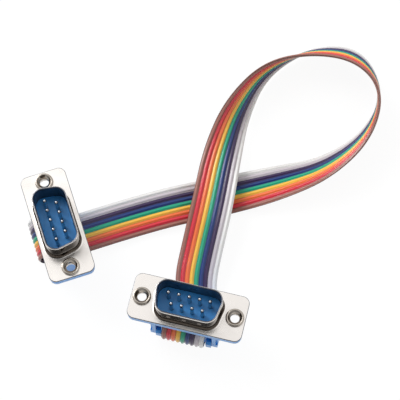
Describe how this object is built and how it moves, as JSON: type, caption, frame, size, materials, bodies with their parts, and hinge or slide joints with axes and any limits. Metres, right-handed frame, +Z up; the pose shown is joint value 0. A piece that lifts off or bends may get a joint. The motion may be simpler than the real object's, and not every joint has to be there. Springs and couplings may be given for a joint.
{
  "type": "serial ribbon cable",
  "caption": "Short rainbow ribbon cable with a pin-type D plug at each end, both lying on their backs, the flat ribbon looped and crossing itself.",
  "frame": {"origin": "middle of the underside of the first plug's strain-relief clip, on the surface both plugs lie on", "axes": "+Z up along the pins; X along the first plug's long side; +Y the way its ribbon leaves"},
  "size_m": [0.0897, 0.0964, 0.0214],
  "materials": {
    "shell_steel": "satin tin plate",
    "insert_steel": "dull nickel plate",
    "blue_moulding": "satin glass-filled nylon",
    "contact_plate": "bright tin plate",
    "insulation_brown": "glossy vinyl",
    "insulation_red": "glossy vinyl",
    "insulation_orange": "glossy vinyl",
    "insulation_yellow": "glossy vinyl",
    "insulation_green": "glossy vinyl",
    "insulation_blue": "glossy vinyl",
    "insulation_purple": "glossy vinyl",
    "insulation_grey": "glossy vinyl",
    "insulation_white": "glossy vinyl"
  },
  "bodies": {
    "root": {"plug_a_shell": "shell_steel", "plug_a_inserts": "insert_steel", "plug_a_body": "blue_moulding", "plug_a_cover": "blue_moulding", "plug_a_clip": "blue_moulding", "plug_a_contact_brown": "contact_plate", "plug_a_contact_red": "contact_plate", "plug_a_contact_orange": "contact_plate", "plug_a_contact_yellow": "contact_plate", "plug_a_contact_green": "contact_plate", "plug_a_contact_blue": "contact_plate", "plug_a_contact_purple": "contact_plate", "plug_a_contact_grey": "contact_plate", "plug_a_contact_white": "contact_plate", "plug_b_shell": "shell_steel", "plug_b_inserts": "insert_steel", "plug_b_body": "blue_moulding", "plug_b_cover": "blue_moulding", "plug_b_clip": "blue_moulding", "plug_b_contact_brown": "contact_plate", "plug_b_contact_red": "contact_plate", "plug_b_contact_orange": "contact_plate", "plug_b_contact_yellow": "contact_plate", "plug_b_contact_green": "contact_plate", "plug_b_contact_blue": "contact_plate", "plug_b_contact_purple": "contact_plate", "plug_b_contact_grey": "contact_plate", "plug_b_contact_white": "contact_plate", "wire_brown": "insulation_brown", "wire_red": "insulation_red", "wire_orange": "insulation_orange", "wire_yellow": "insulation_yellow", "wire_green": "insulation_green", "wire_blue": "insulation_blue", "wire_purple": "insulation_purple", "wire_grey": "insulation_grey", "wire_white": "insulation_white"}
  },
  "joints": []
}
